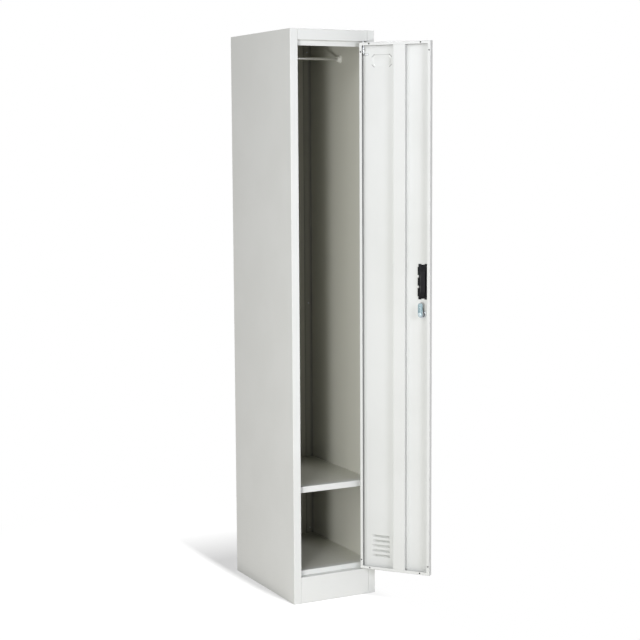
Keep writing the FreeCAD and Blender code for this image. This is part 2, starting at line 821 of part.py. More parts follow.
os.makedirs("parts", exist_ok=True)
for name, shape in carcass.items():
    shape.exportStep("parts/" + name + ".step")
for name, shape in door.items():
    swung(shape).exportStep("parts/" + name + ".step")
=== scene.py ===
import math
import bmesh
import bpy
import numpy as np
from mathutils import Matrix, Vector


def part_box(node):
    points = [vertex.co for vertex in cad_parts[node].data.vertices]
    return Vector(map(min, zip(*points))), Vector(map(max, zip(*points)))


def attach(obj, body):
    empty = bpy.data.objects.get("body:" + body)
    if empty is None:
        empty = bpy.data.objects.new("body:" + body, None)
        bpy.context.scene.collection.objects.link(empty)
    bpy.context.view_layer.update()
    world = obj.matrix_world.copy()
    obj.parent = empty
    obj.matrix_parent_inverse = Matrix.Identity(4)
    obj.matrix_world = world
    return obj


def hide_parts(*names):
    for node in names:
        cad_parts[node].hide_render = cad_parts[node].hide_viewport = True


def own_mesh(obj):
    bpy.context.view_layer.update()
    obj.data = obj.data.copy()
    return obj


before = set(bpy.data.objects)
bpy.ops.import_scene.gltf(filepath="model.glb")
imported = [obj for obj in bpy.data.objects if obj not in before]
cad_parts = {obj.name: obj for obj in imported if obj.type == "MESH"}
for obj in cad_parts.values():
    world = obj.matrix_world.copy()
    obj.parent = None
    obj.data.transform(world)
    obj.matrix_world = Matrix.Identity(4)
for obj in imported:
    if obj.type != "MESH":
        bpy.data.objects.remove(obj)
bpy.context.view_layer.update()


# Side panels: two mirrored sheets of 1 mm steel, folded into a web, a front flange with its return
# beside the door, and a rear flange with a lip. Powder is sprayed on and baked, so one satin coat
# with a fine orange peel follows every fold.
class Field:
    """A value that varies over a surface. It wraps a socket, and expressions add Math nodes."""

    def __init__(self, socket):
        self.socket = socket
        self.tree = socket.id_data

    def node(self, kind, settings, sockets, output=0):
        """Adds a node: its settings first, then its sockets' values or links."""
        made = self.tree.nodes.new(kind)
        for name, value in settings.items():
            setattr(made, name, value)
        for name, value in sockets.items():
            if isinstance(value, Field):
                self.tree.links.new(value.socket, made.inputs[name])
            else:
                made.inputs[name].default_value = value
        return Field(made.outputs[output])

    def maths(self, operation, first, second=0.0):
        """Adds a Math node of one or two values."""
        return self.node("ShaderNodeMath", {"operation": operation}, {0: first, 1: second})

    def __add__(self, other):
        return self.maths("ADD", self, other)

    def __sub__(self, other):
        return self.maths("SUBTRACT", self, other)

    def __rsub__(self, other):
        return self.maths("SUBTRACT", other, self)

    def __mul__(self, other):
        return self.maths("MULTIPLY", self, other)

    def __abs__(self):
        return self.maths("ABSOLUTE", self)

    __radd__ = __add__
    __rmul__ = __mul__

    def larger(self, other):
        """The larger of this value and another."""
        return self.maths("MAXIMUM", self, other)

    def between(self, low, high):
        """0 at low and 1 at high, with a smooth rise from one to the other."""
        return self.node("ShaderNodeMapRange", {"interpolation_type": "SMOOTHSTEP"},
                         {"Value": self, "From Min": low, "From Max": high})

    def mix(self, shade, other):
        """The first shade where this value is 0, and the other where it is 1."""
        sockets = {0: self, 6: shade, 7: other}
        return self.node("ShaderNodeMix", {"data_type": "RGBA"}, sockets, 2)

    def noise(self, scale, detail=2.0, stretch=None):
        """Soft random values about 0.5. The scale counts waves to the metre.

        stretch squeezes the waves by axis."""
        place = self
        if stretch is not None:
            place = self.node("ShaderNodeVectorMath", {"operation": "MULTIPLY"},
                              {0: self, 1: stretch})
        return self.node("ShaderNodeTexNoise", {},
                         {"Vector": place, "Scale": scale, "Detail": detail})

    def axes(self):
        """The X, Y and Z of a place, as values."""
        split = self.node("ShaderNodeSeparateXYZ", {}, {0: self})
        return [Field(socket) for socket in split.socket.node.outputs]


def new_finish(name):
    """An empty material: returns it, its shader and the place on the surface in metres."""
    finish = bpy.data.materials.new(name)
    finish.use_nodes = True
    tree = finish.node_tree
    shader = tree.nodes["Principled BSDF"]
    place = Field(tree.nodes.new("ShaderNodeTexCoord").outputs["Object"])
    return finish, shader, place


def wire(shader, **varying):
    """Links varying values to a shader's sockets, named with underscores for spaces."""
    for name, value in varying.items():
        value.tree.links.new(value.socket, shader.inputs[name.replace("_", " ")])


def bumped(height, strength, distance):
    """The normal of a surface whose height varies. The distance is a height of 1, in metres."""
    return height.node("ShaderNodeBump", {},
                       {"Height": height, "Strength": strength, "Distance": distance})


COAT_SHADE = (0.668, 0.682, 0.660, 1)
COAT_THIN_SHADE = (0.628, 0.642, 0.616, 1)
# Painted shade: the coat's colour inside the box, and darker still towards its rear.
INSIDE_PAINTED_SHADE = (0.555, 0.555, 0.492, 1)
REAR_PAINTED_SHADE = (0.350, 0.350, 0.304, 1)
DUST_SHADE = (0.50, 0.48, 0.43, 1)
# Painted shade for the box's corners, the flanges' lips and the door's folds.
HOLLOW_PAINTED_SHADE = (0.11, 0.11, 0.105, 1)
sheet = 0.001
outer_x, outer_y, outer_z = 0.150, 0.448, 1.850
wall_x = outer_x - sheet


def inside_carcass(place, mouth, deep):
    """From 0 at the mouth to 1 at a depth on faces that look into the locker, and 0 on its outside.

    The change to 0 lies within the sheet of the sides, the back and the top."""
    x, y, z = place.axes()
    inside = y.between(mouth, deep)
    for under in (outer_x - abs(x), outer_y - y, outer_z - z):
        inside = inside * under.between(0.2 * sheet, 0.8 * sheet)
    return inside


# Painted shade: this mask darkens the box's upright corners and the rear flanges' lips.
def corner_shade_mask(place):
    """1 in the upright corners of sides and rear flanges, less on the flanges' lips, 0 elsewhere.

    The distance to a corner is the larger of the distances to its two faces."""
    flange_y, lip_x = outer_y - 2 * sheet, 0.1225
    x, y, _ = place.axes()
    apart = (wall_x - abs(x)).larger(flange_y - y)
    corner = inside_carcass(place, mouth=0.400, deep=0.415) * (1 - apart.between(0.001, 0.011))
    beside = abs(abs(x) - lip_x)
    lip = inside_carcass(place, mouth=0.4425, deep=0.4432) * (1 - beside.between(0.0008, 0.0014))
    return corner.larger(lip * 0.7)


def powder_coat(name, dust, rubbed, deep=1.0, hollows=None):
    """Baked powder coat: orange peel, changes of tone, dust settled on level faces and rub marks.

    Inside the box the coat is darkened as painted shade, more towards the rear, and painted shade
    also darkens its corners and, where given, a fold's hollows."""
    finish, shader, place = new_finish(name)
    tone = place.noise(5.0, 3.0)
    speck = place.noise(900.0, 1.0)
    thin = tone.between(0.35, 0.65) * 0.5 + speck.between(0.55, 0.8) * 0.25
    shade = thin.mix(COAT_SHADE, COAT_THIN_SHADE)
    # Painted shade: darker inside the box, and towards its rear as much as deep gives.
    shade = inside_carcass(place, mouth=0.012, deep=0.055).mix(shade, INSIDE_PAINTED_SHADE)
    rear = inside_carcass(place, mouth=0.280, deep=0.410)
    shade = (rear * deep).mix(shade, REAR_PAINTED_SHADE)
    # Painted shade in the upright corners and along the rear flanges' lips.
    shade = (corner_shade_mask(place) * 0.55).mix(shade, HOLLOW_PAINTED_SHADE)
    facing = place.node("ShaderNodeNewGeometry", {}, {}, "Normal")
    level = facing.axes()[2].between(0.6, 0.95)
    settled = level * place.noise(38.0, 5.0).between(0.35, 0.75) * dust
    marks = place.noise(26.0, 4.0, (1.0, 5.0, 6.0)).between(0.62, 0.74) * rubbed
    shade = (settled + marks * 0.5).mix(shade, DUST_SHADE)
    # Painted shade in a fold's hollows, where given.
    if hollows is not None:
        shade = hollows(place).mix(shade, HOLLOW_PAINTED_SHADE)
    peel = place.noise(650.0, 2.0)
    # The roughness stays above 0.274, below which the denoiser draws outlines round the tones.
    wire(shader, Base_Color=shade,
         Roughness=tone * 0.06 + 0.27 + settled * 0.3 + marks * 0.2,
         Normal=bumped(peel, 0.25, 0.00004))
    shader.inputs["Specular IOR Level"].default_value = 0.40
    return finish


def smooth_folds():
    """A modifier's node group that joins a solid's loose triangles and shades its folds smooth."""
    seam, fold = 0.000002, math.radians(32)
    group = bpy.data.node_groups.new("smooth_folds", "GeometryNodeTree")
    for way in ("INPUT", "OUTPUT"):
        group.interface.new_socket("Geometry", in_out=way, socket_type="NodeSocketGeometry")
    start = Field(group.nodes.new("NodeGroupInput").outputs[0])
    joined = start.node("GeometryNodeMergeByDistance", {}, {"Geometry": start, "Distance": seam})
    bend = start.node("GeometryNodeInputMeshEdgeAngle", {}, {})
    sharp = start.node("FunctionNodeCompare",
                       {"data_type": "FLOAT", "operation": "GREATER_THAN"}, {0: bend, 1: fold})
    rounded_off = start.node("GeometryNodeSetShadeSmooth", {},
                             {"Geometry": joined, "Shade Smooth": True})
    creased = start.node("GeometryNodeSetShadeSmooth", {"domain": "EDGE"},
                         {"Geometry": rounded_off, "Selection": sharp, "Shade Smooth": False})
    end = group.nodes.new("NodeGroupOutput")
    group.links.new(creased.socket, end.inputs[0])
    return group


fold_shading = smooth_folds()


def finish_node(name, finish):
    """Gives a solid of the frame its finish, and smooth shading on its curved faces."""
    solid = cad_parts[name]
    solid.data.materials.clear()
    solid.data.materials.append(finish)
    shading = solid.modifiers.new("fold_shading", "NODES")
    shading.node_group = fold_shading
    flats = solid.modifiers.new("flat_faces", "WEIGHTED_NORMAL")
    flats.keep_sharp = True
    flats.weight = 100


panel_coat = powder_coat("panel_coat", dust=0.10, rubbed=0.05)
finish_node("left_side_panel", panel_coat)
finish_node("right_side_panel", panel_coat)


# Back panel: one flat sheet of 1 mm steel with the same coat, laid over the rear flanges from
# behind. It takes less of the rear painted shade than the sides.
finish_node("back_panel", powder_coat("back_coat", dust=0.10, rubbed=0.05, deep=0.45))


# Back screws: six self-tapping screws with hexagon heads, cold-headed and thread-rolled from steel
# wire and zinc plated. They are driven from behind through the back panel into the rear flanges.
def zinc_plate(name, shade, worn_shade, rough):
    """Zinc with a passivated film: cloudy tint, fine crystals and dull patches."""
    finish, shader, place = new_finish(name)
    cloud = place.noise(240.0, 4.0)
    grain = place.noise(2600.0, 2.0)
    wire(shader, Base_Color=cloud.between(0.3, 0.7).mix(shade, worn_shade),
         Roughness=cloud * 0.16 + grain * 0.10 + rough,
         Normal=bumped(grain, 0.2, 0.00002))
    shader.inputs["Metallic"].default_value = 1.0
    return finish


bright_zinc = zinc_plate("bright_zinc", (0.52, 0.55, 0.58, 1), (0.60, 0.62, 0.63, 1), rough=0.26)


def new_piece(name, points, faces, finish, body, slot, *stands_for):
    """Makes a closed mesh, merges its seams and poles, and puts it on a body for a solid."""
    seam, crease = 1e-7, math.radians(35)
    mesh = bpy.data.meshes.new(name)
    mesh.from_pydata(points.reshape(-1, 3), [], faces.reshape(-1, 4).tolist())
    made = bmesh.new()
    made.from_mesh(mesh)
    bmesh.ops.remove_doubles(made, verts=made.verts, dist=seam)
    bmesh.ops.dissolve_degenerate(made, dist=seam, edges=made.edges)
    bmesh.ops.recalc_face_normals(made, faces=made.faces)
    made.to_mesh(mesh)
    made.free()
    mesh.shade_smooth()
    mesh.set_sharp_from_angle(angle=crease)
    mesh.materials.append(finish)
    piece = bpy.data.objects.new(name, mesh)
    bpy.context.scene.collection.objects.link(piece)
    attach(piece, body)
    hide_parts(*stands_for)
    return piece


def grid_faces(rows, columns, closed_rows=False):
    """Quads between a grid's neighbours. Its columns close on themselves, and its rows if asked."""
    row = np.arange(rows if closed_rows else rows - 1)[:, None]
    column = np.arange(columns)[None, :]
    after_row = (row + 1) % rows
    after_column = (column + 1) % columns
    return np.stack([row * columns + column, row * columns + after_column,
                     after_row * columns + after_column, after_row * columns + column], axis=-1)


def whole_turn(around):
    """Even angles of one turn, as a row."""
    return np.linspace(0, 2 * math.pi, around, endpoint=False)[None, :]


def ring_points(angles, rings):
    """Points of circles about the third axis, from the (radius, height) of each.

    Both may change with the angle, and both may hold several rows of circles."""
    even = np.ones_like(angles)
    radii, heights = [np.concatenate([row * even for row in rows]) for rows in zip(*rings)]
    return np.stack([radii * np.cos(angles), radii * np.sin(angles), heights], axis=-1)


def placed(points, start, along, across):
    """Points with their third axis turned to along and their first to across, set at start."""
    along, across = np.array(along, float), np.array(across, float)
    basis = np.stack([across, np.cross(along, across), along])
    return points @ basis + np.array(start)


def hex_reach(angles, across):
    """Distance from the axis to a hexagon's edge.

    It is half the size across flats over the cosine of the angle from the nearest flat."""
    sixth = math.pi / 3
    return across / 2 / np.cos(np.mod(angles + sixth / 2, sixth) - sixth / 2)


def thread_depth(angles, along, pitch, depth):
    """Height of a thread above its root: a triangle wave of the way along less the turn."""
    phase = np.mod(along / pitch - angles / (2 * math.pi), 1.0)
    return depth * (1 - np.abs(2 * phase - 1))


cone_slope = math.tan(math.radians(30))


def hex_screw(across, head, radius, length, pitch, depth, around=48):
    """Screw about the third axis, its head above 0.

    The head is a hexagon with a dished top, cut by a cone. The shank is a thread that tapers."""
    angles = whole_turn(around)
    reach = hex_reach(angles, across)
    crown, dish = across / 2 * 0.96, 0.0003
    shoulder = head - (reach - crown) * cone_slope
    rows_to_pitch = 8
    down = np.linspace(0, 1, int(length / pitch * rows_to_pitch))[:, None]
    taper = np.clip((1 - down) * 6, 0.25, 1.0)
    thread = thread_depth(angles, -down * length, pitch, depth) * np.minimum(taper, down * 20)
    shank = (radius - depth) * taper + thread
    points = ring_points(angles, [
        (0, head - dish), (crown * 0.45, head - dish), (crown * 0.55, head), (crown, head),
        (reach, shoulder), (reach, 0), (radius, 0), (shank, -down * length), (0, -length)])
    return points, grid_faces(len(points), around)


def copies(points, faces, places):
    """The same mesh at several places: each one's points are moved, and its faces counted on."""
    points = points.reshape(-1, 3)
    shift = np.arange(len(places)) * len(points)
    return points[None] + places[:, None], faces.reshape(-1, 4)[None] + shift[:, None, None]


back_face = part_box("back_panel")[1].y
screw_x = 0.1365
screw_heights = np.array([0.120, 0.931, 1.805])
screw_points, screw_faces = hex_screw(across=0.008, head=0.0035, radius=0.0025, length=0.007,
                                      pitch=0.0014, depth=0.0005)
screw_points = placed(screw_points, (0, back_face, 0), (0, 1, 0), (1, 0, 0))
screw_places = np.stack([np.repeat([-screw_x, screw_x], 3), np.zeros(6),
                         np.tile(screw_heights, 2)], axis=-1)
new_piece("back_screw_set", *copies(screw_points, screw_faces, screw_places), bright_zinc,
          "carcass", "zinc", "back_screws")


# Top panel: top sheet, fascia, the return over the door and the door stop, folded from one sheet of
# steel and hooked and spot-welded to the side panels.
finish_node("top_panel", powder_coat("top_coat", dust=0.22, rubbed=0.05))


# Plinth: a folded front board with a foot turned in on the floor and a ledge under the floor panel.
# It is kicked more than the rest, so its coat has a few more rub marks.
finish_node("plinth", powder_coat("plinth_coat", dust=0.15, rubbed=0.16))


# Floor panel: a shallow pan folded from coated steel, with its rims turned down and open below. It
# stands on the plinth's ledge, between the side panels.
shelf_coat = powder_coat("shelf_coat", dust=0.14, rubbed=0.08)
finish_node("floor_panel", shelf_coat)


# Shelf and its four brackets: a second pan with rims all round, lying on small angles that are
# spot-welded to the side panels.
finish_node("shelf", shelf_coat)
finish_node("shelf_brackets", panel_coat)


# Rail sockets: two flanged cups moulded in pale plastic and fixed to the side panels, face to face.
# They take the rail's ends.
def socket_plastic():
    """Pale moulded plastic with a faint eggshell skin."""
    finish, shader, place = new_finish("pale_plastic")
    skin = place.noise(1500.0, 2.0)
    flow = place.noise(90.0, 3.0)
    tint = flow.between(0.3, 0.7).mix((0.78, 0.78, 0.73, 1), (0.71, 0.71, 0.66, 1))
    wire(shader, Base_Color=tint, Roughness=flow * 0.12 + 0.38,
         Normal=bumped(skin, 0.3, 0.00003))
    return finish


pale_plastic = socket_plastic()


def turned(profile, around=64):
    """Surface turned about the third axis from a closed profile of (radius, height)."""
    points = ring_points(whole_turn(around), profile)
    return points, grid_faces(len(points), around, closed_rows=True)


def rounded(corners, radius, steps=4):
    """A closed (radius, height) profile with each corner that leaves the axis rounded by an arc.

    The arc is a quadratic curve. It leaves the corner's first side, and joins its second, as far
    from the corner as the radius."""
    corners = np.array(corners, float)
    room = np.where(corners[:, :1] > 1e-9, radius, 0.0)
    before, after = [np.roll(corners, shift, axis=0) - corners for shift in (1, -1)]
    start = corners + before / np.linalg.norm(before, axis=1, keepdims=True) * room
    end = corners + after / np.linalg.norm(after, axis=1, keepdims=True) * room
    start, corner, end = start[:, None], corners[:, None], end[:, None]
    t = np.linspace(0, 1, steps)[None, :, None]
    curve = (1 - t) ** 2 * start + 2 * t * (1 - t) * corner + t ** 2 * end
    return curve.reshape(-1, 2)


def socket_grid():
    """Cup with a flange at its foot: the rounded profile of flange, cup and bore, turned."""
    flange, cup, bore, plate, height = 0.0135, 0.0085, 0.00505, 0.002, 0.012
    profile = [(0, 0), (flange, 0), (flange, plate), (cup, plate),
               (cup, height), (bore, height), (bore, plate), (0, plate)]
    return turned(rounded(profile, 0.0006))


rail_y, rail_z = 0.221, 1.771
socket_points, socket_faces = socket_grid()
socket_pair = np.stack([placed(socket_points, (-wall_x, rail_y, rail_z), (1, 0, 0), (0, 0, 1)),
                        placed(socket_points, (wall_x, rail_y, rail_z), (-1, 0, 0), (0, 0, 1))])
socket_pair_faces = np.stack([socket_faces, socket_faces + socket_points[..., 0].size])
new_piece("rail_socket_pair", socket_pair, socket_pair_faces, pale_plastic,
          "carcass", "socket_plastic", "rail_sockets")


# Hanging rail: a 10 mm tube of drawn steel, cut to length and pushed into the sockets' cups before
# the sides are closed. Hangers leave fine streaks along it.
def drawn_steel():
    """Bright drawn steel: long fine lines along the tube, and dull specks."""
    finish, shader, place = new_finish("drawn_rail_steel")
    lines = place.noise(300.0, 3.0, (0.02, 3.0, 3.0))
    specks = place.noise(160.0, 4.0).between(0.55, 0.75)
    tint = (lines * 0.5 + specks * 0.4).mix((0.72, 0.72, 0.70, 1), (0.46, 0.45, 0.43, 1))
    wire(shader, Base_Color=tint, Roughness=lines * 0.2 + specks * 0.15 + 0.20,
         Normal=bumped(lines, 0.15, 0.00002))
    shader.inputs["Metallic"].default_value = 1.0
    return finish


rail_half, rail_radius, rail_bore = 0.147, 0.005, 0.0038
tube_profile = [(rail_bore, 0), (rail_radius, 0), (rail_radius, 2 * rail_half),
                (rail_bore, 2 * rail_half)]
rail_points, rail_faces = turned(rounded(tube_profile, 0.0003))
rail_points = placed(rail_points, (-rail_half, rail_y, rail_z), (1, 0, 0), (0, 0, 1))
new_piece("hanging_rail_tube", rail_points, rail_faces, drawn_steel(),
          "carcass", "rail_steel", "hanging_rail")


# Lower hinge: a headed steel pin riveted up through the plinth's ledge, with a plastic washer that
# the door turns on.
finish_node("lower_hinge_pin", bright_zinc)
finish_node("lower_hinge_washer", pale_plastic)


# Door and its stiffener: one sheet folded into a pan with return flanges, pressed out for a card
# field and five louvre hoods. A hat section is spot-welded up its middle before both are coated.
hinge_x, hinge_y = 0.1125, -0.007
door_swing = math.radians(129)
door_low, door_high = 0.089, 1.811


def card_rim_shade(x, z):
    """A thin line of painted shade along the top of the pressed card field and over its four cut
    corners.

    The distance to a cut is taken along the sum of the distances from the field's middle."""
    middle_x, middle_z = -0.0625, 1.753
    half_width, half_height, cut = 0.034, 0.020, 0.008
    inset, fade, diagonal = 0.001, 0.001, 0.707
    rise = z - middle_z
    across, apart = abs(x - middle_x), abs(rise)
    in_width = 1 - across.between(half_width, half_width + fade)
    in_height = 1 - apart.between(half_height, half_height + fade)
    from_cut = abs((across + apart - (half_width + half_height - cut)) * diagonal)
    cuts = (1 - from_cut.between(0.0006, 0.0016)) * (in_width * in_height)
    line_end = half_width - cut
    in_line = 1 - across.between(line_end, line_end + 2 * fade)
    from_top = abs(rise - (half_height - inset))
    line = (1 - from_top.between(0.0005, 0.0014)) * in_line
    return cuts * 0.6 + line * 0.35


# Painted shade: the mask below darkens the folds behind the door's return flanges and the card rim.
def door_hollow_shade(place):
    """1 in the folds behind the door's return flanges, less on the card field's rim, 0 elsewhere.

    The place is turned back to the shut door and counted from the hinge pins. Each side of the pan
    has a band of painted shade that fades inwards, on the faces between the skin and the flange."""
    shut = place.node("ShaderNodeMapping", {"vector_type": "TEXTURE"},
                      {"Vector": place, "Location": (hinge_x, hinge_y, 0),
                       "Rotation": (0, 0, door_swing)})
    lock_edge, hinge_edge = -0.2345, 0.0085
    in_skin, in_flange = (-0.0047, -0.0043), (0.0143, 0.0148)
    x, y, z = shut.axes()
    bands = [(x - lock_edge, 0.0140, 0.0180), (hinge_edge - x, 0.0030, 0.0045),
             (z - door_low, 0.0040, 0.0055), (door_high - z, 0.0085, 0.0100)]
    band_shade = y.between(*in_skin) - y.between(*in_flange)
    hidden = 0.0
    for reach, full, none in bands:
        band_shade = band_shade * reach.between(0.0004, 0.0008)
        hidden = (1 - reach.between(full, none)).larger(hidden)
    return (band_shade * hidden).larger(card_rim_shade(x, z))


# Its coat carries painted shade in the door's folds and along the card field's rim.
door_coat = powder_coat("door_coat", dust=0.08, rubbed=0.05, hollows=door_hollow_shade)
finish_node("door_panel", door_coat)
finish_node("door_stiffener", door_coat)


# Handle: a recessed pull moulded in black plastic, pushed into the door's cut-out from the front
# and held by its lugs. The mould's face is finely grained.
def black_plastic():
    """Black moulded plastic with a fine pebbled grain and hand-worn gloss."""
    finish, shader, place = new_finish("black_plastic")
    pebble = place.node("ShaderNodeTexVoronoi", {}, {"Vector": place, "Scale": 1400.0})
    worn = place.noise(60.0, 3.0).between(0.4, 0.7)
    wire(shader, Base_Color=worn.mix((0.004, 0.004, 0.005, 1), (0.007, 0.007, 0.008, 1)),
         Roughness=0.42 - worn * 0.14, Normal=bumped(pebble, 0.25, 0.00006))
    shader.inputs["Specular IOR Level"].default_value = 0.20
    return finish


finish_node("door_handle", black_plastic())


# Lock: a die-cast barrel with a rolled thread, two flats and a turned bezel, drawn tight in the
# door by a hexagon nut. Its plug turns a pressed zinc-plated cam, which a washer and a screw hold
# on the square.
def lock_chrome():
    """Bright plating with fine turning marks and faint wipe marks."""
    finish, shader, place = new_finish("lock_chrome")
    wipe = place.noise(120.0, 4.0)
    tint = wipe.between(0.3, 0.7).mix((0.62, 0.63, 0.65, 1), (0.52, 0.53, 0.56, 1))
    wire(shader, Base_Color=tint, Roughness=wipe * 0.16 + 0.06,
         Normal=bumped(place.noise(1800.0, 2.0), 0.08, 0.00002))
    shader.inputs["Metallic"].default_value = 1.0
    return finish


bright_chrome = lock_chrome()
lock_place = np.array([-0.0900, 0.0, 0.945])
door_front = -0.012


def swung(points):
    """Turns points of the shut door about the hinge pins to where the door stands open."""
    cosine, sine = math.cos(door_swing), math.sin(door_swing)
    turn = np.array([[cosine, -sine, 0], [sine, cosine, 0], [0, 0, 1]])
    hinge = np.array([hinge_x, hinge_y, 0])
    return (points - hinge) @ turn.T + hinge


def on_lock(points, y):
    """Points about the lock's axis, from depth y of the shut door inwards, on the open door."""
    return swung(placed(points, lock_place + [0, y, 0], (0, 1, 0), (1, 0, 0)))


def barrel_grid(around=96):
    """Bezel, threaded barrel and bore about one axis. The barrel is clipped to its two flats."""
    bore, barrel, root, end_radius, bezel_radius = 0.00605, 0.0095, 0.0090, 0.0086, 0.0115
    bezel_depth, end, flat, pitch, thread = 0.002, 0.0209, 0.0082, 0.001, 0.0005
    angles = whole_turn(around)
    bezel = rounded([(bore, -bezel_depth), (bezel_radius, -bezel_depth), (bezel_radius, 0)], 0.0007)
    bezel[-1] = (bezel_radius, 0)
    depth = np.linspace(0.0003, 0.0206, 140)[:, None]
    rolled = root + thread_depth(angles, depth, pitch, thread)
    points = ring_points(angles, [
        *bezel, (barrel, 0), (rolled, depth), (end_radius, end), (bore, end)])
    across = points[..., 0]
    on_barrel = points[..., 2] > 0.0001
    points[..., 0] = np.where(on_barrel, np.clip(across, -flat, flat), across)
    return points, grid_faces(len(points), around, closed_rows=True)


barrel_points, barrel_faces = barrel_grid()
new_piece("lock_barrel", on_lock(barrel_points, door_front), barrel_faces, bright_chrome,
          "door", "lock_chrome", "lock_housing")


def nut_grid(across, bore, height, around=96):
    """Hexagon nut: the hexagon's corners are turned off at both faces by a cone."""
    angles = whole_turn(around)
    reach = hex_reach(angles, across)
    crown, mouth = across / 2 * 0.97, 0.0005
    drop = (reach - crown) * cone_slope
    points = ring_points(angles, [
        (bore, mouth), (bore + mouth, 0), (crown, 0), (reach, drop),
        (reach, height - drop), (crown, height), (bore + mouth, height), (bore, height - mouth)])
    return points, grid_faces(len(points), around, closed_rows=True)


nut_points, nut_faces = nut_grid(across=0.024, bore=0.00955, height=0.004)
new_piece("lock_ring_nut", on_lock(nut_points, door_front + sheet), nut_faces, bright_zinc,
          "door", "zinc", "lock_nut")
finish_node("lock_plug", bright_chrome)


def cam_grid(steps=24):
    """Cam plate about the lock's axis: a round heel and a tip with rounded corners, edges rolled.

    The outline is carried through half a circle at its rim, and joins the square hole along both
    faces."""
    half, tip_radius, reach, thick, rolled, hub = 0.008, 0.006, 0.037, 0.002, 0.0006, 0.0035
    quarter = np.linspace(0, math.pi / 2, steps)
    heel = np.linspace(math.pi, 2 * math.pi, 2 * steps)
    tip_x, tip_y = half - tip_radius, reach - tip_radius
    centres = np.concatenate([np.zeros((2 * steps, 2)), np.tile([tip_x, tip_y], (steps, 1)),
                              np.tile([-tip_x, tip_y], (steps, 1))])
    turns = np.concatenate([heel, quarter, quarter + math.pi / 2])
    spans = np.concatenate([np.full(2 * steps, half), np.full(2 * steps, tip_radius)])
    normals = np.stack([np.cos(turns), np.sin(turns)], axis=-1)
    outline = centres + normals * spans[:, None]
    lean = np.linspace(0, math.pi / 2, 5)
    rising, falling = rolled * (1 - np.cos(lean)), rolled * (1 - np.sin(lean))
    inset = np.concatenate([falling, rising])
    height = np.concatenate([rising, thick - falling])
    rim = outline[None] - normals[None] * inset[:, None, None]
    towards = outline / np.linalg.norm(outline, axis=1, keepdims=True)
    hole = towards * hub / np.max(np.abs(towards), axis=1, keepdims=True)
    flat = np.concatenate([hole[None], rim, hole[None]])
    heights = np.concatenate([[0.0], height, [thick]])
    depth = np.broadcast_to(heights[:, None, None], (*flat.shape[:2], 1))
    points = np.concatenate([flat, depth], axis=-1)
    return points, grid_faces(len(heights), len(outline), closed_rows=True)


def upright(points):
    """Turns points of a plate's own plane (right, up, depth) to stand on the door at the lock."""
    return swung(np.stack([points[..., 0], points[..., 2], points[..., 1]], axis=-1) + lock_place)


cam_zinc = zinc_plate("cam_zinc", (0.13, 0.20, 0.225, 1), (0.35, 0.43, 0.45, 1), rough=0.34)
cam_front, washer_face = 0.0095, 0.0125
cam_points, cam_faces = cam_grid()
new_piece("lock_cam_plate", upright(cam_points + [0, 0, cam_front]), cam_faces, cam_zinc,
          "lock", "zinc", "lock_cam")
bolt_zinc = zinc_plate("bolt_zinc", (0.40, 0.48, 0.51, 1), (0.54, 0.60, 0.62, 1), rough=0.30)
finish_node("cam_washer", bolt_zinc)
head_points, head_faces = hex_screw(across=0.008, head=0.003, radius=0.0025, length=0.009,
                                    pitch=0.0008, depth=0.0003)
new_piece("cam_screw_hex", on_lock(head_points, washer_face), head_faces, bolt_zinc,
          "lock", "zinc", "cam_screw")


# Upper hinge: a sprung steel pin, its lower end bent over as a finger pull. A coil spring of round
# wire stands on a tab spot-welded to the door, and pushes up a clip in the pin's groove.
finish_node("hinge_bracket", door_coat)
finish_node("hinge_pin_clip", bright_zinc)


def swept(path, side, section_radius, scale, around=24):
    """Round bar along a path: each point's circle stands on the side vector and across the path.

    The scale shrinks the circle to nothing at the two ends, which closes the bar."""
    along = np.gradient(path, axis=0)
    along = along / np.linalg.norm(along, axis=1, keepdims=True)
    other = np.cross(along, side)
    angles = whole_turn(around)[..., None]
    ring = np.cos(angles) * side[:, None] + np.sin(angles) * other[:, None]
    points = path[:, None] + ring * (section_radius * scale)[:, None, None]
    return points, grid_faces(len(path), around)


def pin_grid():
    """Pin along three runs: down the hinge axis, a quarter circle, and out along the foot."""
    radius, bend, foot, foot_z, top_z = 0.0025, 0.005, 0.018, 1.7735, 1.820
    clear = radius * 1.05
    dome = 1 - np.cos(np.linspace(0, math.pi / 2, 8))
    shaft = np.linspace(top_z - clear, foot_z + bend, 12)
    turn = np.linspace(0, math.pi / 2, 16)[1:]
    run = np.linspace(-bend, -foot + clear, 8)[1:]
    out = np.concatenate([0 * dome, 0 * shaft, -bend + bend * np.cos(turn), run,
                          -foot + radius * dome[::-1]])
    up = np.concatenate([top_z - radius * dome, shaft, foot_z + bend - bend * np.sin(turn),
                         foot_z + 0 * run, foot_z + 0 * dome])
    path = np.stack([hinge_x + out, hinge_y + 0 * out, up], axis=-1)
    round_off = np.sqrt(np.clip(1 - (1 - dome) ** 2, 0, 1))
    scale = np.concatenate([round_off, np.ones(len(path) - 2 * len(dome)), round_off[::-1]])
    side = np.tile([0.0, 1.0, 0.0], (len(path), 1))
    return swept(path, side, radius, scale)


pin_steel = zinc_plate("pin_steel", (0.84, 0.85, 0.86, 1), (0.76, 0.77, 0.78, 1), rough=0.26)
pin_points, pin_faces = pin_grid()
new_piece("hinge_pin_bent", swung(pin_points), pin_faces, pin_steel,
          "hinge_pin", "zinc", "upper_hinge_pin")
spring_low, spring_high = 1.7885, 1.8090


